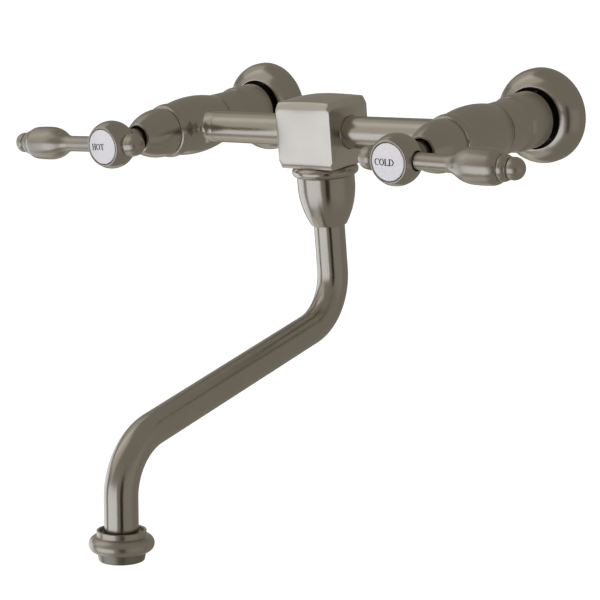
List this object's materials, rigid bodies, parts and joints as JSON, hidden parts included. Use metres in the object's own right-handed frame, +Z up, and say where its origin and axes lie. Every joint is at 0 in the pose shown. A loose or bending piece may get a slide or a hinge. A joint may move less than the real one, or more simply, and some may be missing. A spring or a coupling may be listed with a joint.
{
  "type": "wall mounted bath faucet",
  "caption": "Wall mounted bath faucet in satin nickel: bridge body, porcelain-capped lever handles and a swivel swan-neck spout with an aerator.",
  "frame": {"origin": "on the wall plane, midway between the two inlet axes", "axes": "+Y into the wall, +X towards the cold valve, +Z up"},
  "size_m": [0.3576, 0.2922, 0.224],
  "materials": {
    "nickel": "satin brushed nickel plate over brass",
    "porcelain": "white glazed porcelain",
    "ceramic": "lapped alumina",
    "brass": "machined",
    "steel": "stainless steel",
    "rubber": "black rubber",
    "nylon": "moulded nylon"
  },
  "bodies": {
    "faucet_body": {"hot_inlet_connector": "nickel", "hot_wall_washer": "rubber", "hot_union_washer": "rubber", "hot_valve_body": "nickel", "hot_bonnet": "nickel", "hot_cartridge_body": "brass", "hot_seat_seal": "rubber", "hot_fixed_disc": "ceramic", "hot_bridge_tube": "nickel", "cold_inlet_connector": "nickel", "cold_wall_washer": "rubber", "cold_union_washer": "rubber", "cold_valve_body": "nickel", "cold_bonnet": "nickel", "cold_cartridge_body": "brass", "cold_seat_seal": "rubber", "cold_fixed_disc": "ceramic", "cold_bridge_tube": "nickel", "spout_block": "nickel", "spout_collar": "nickel", "spout_nut": "nickel", "bearing_washer": "nylon"},
    "hot_handle": {"hot_moving_disc": "ceramic", "hot_stem": "brass", "hot_stem_clip": "steel", "hot_stem_o_rings": "rubber", "hot_handle_hub": "nickel", "hot_handle_screw": "steel", "hot_index_button": "porcelain", "hot_lever": "nickel", "hot_lever_finial": "nickel", "hot_knob": "nickel"},
    "cold_handle": {"cold_moving_disc": "ceramic", "cold_stem": "brass", "cold_stem_clip": "steel", "cold_stem_o_rings": "rubber", "cold_handle_hub": "nickel", "cold_handle_screw": "steel", "cold_index_button": "porcelain", "cold_lever": "nickel", "cold_lever_finial": "nickel", "cold_knob": "nickel"},
    "spout": {"retaining_ring": "steel", "spout_o_rings": "rubber", "spout_tube": "nickel", "tip_collar": "nickel", "tip_washer": "rubber", "aerator_housing": "nickel", "aerator_insert": "nylon", "aerator_screen": "steel"},
    "hot_flange": {"hot_wall_flange": "nickel"},
    "cold_flange": {"cold_wall_flange": "nickel"}
  },
  "joints": [
    {"name": "cold_handle_turn", "type": "hinge", "parent": "faucet_body", "child": "cold_handle", "pos_m": [0.1016, -0.148, 0], "axis": [0, 1, 0], "range_deg": [0, 90]},
    {"name": "hot_handle_turn", "type": "hinge", "parent": "faucet_body", "child": "hot_handle", "pos_m": [-0.1016, -0.148, 0], "axis": [0, -1, 0], "range_deg": [0, 90]},
    {"name": "spout_swivel", "type": "hinge", "parent": "faucet_body", "child": "spout", "pos_m": [0, -0.0782, -0.03], "axis": [0, 0, 1], "range_deg": [-100, 100]},
    {"name": "cold_flange_slide", "type": "slide", "parent": "faucet_body", "child": "cold_flange", "axis": [0, -1, 0], "range_m": [0, 0.036]},
    {"name": "hot_flange_slide", "type": "slide", "parent": "faucet_body", "child": "hot_flange", "axis": [0, -1, 0], "range_m": [0, 0.036]}
  ]
}
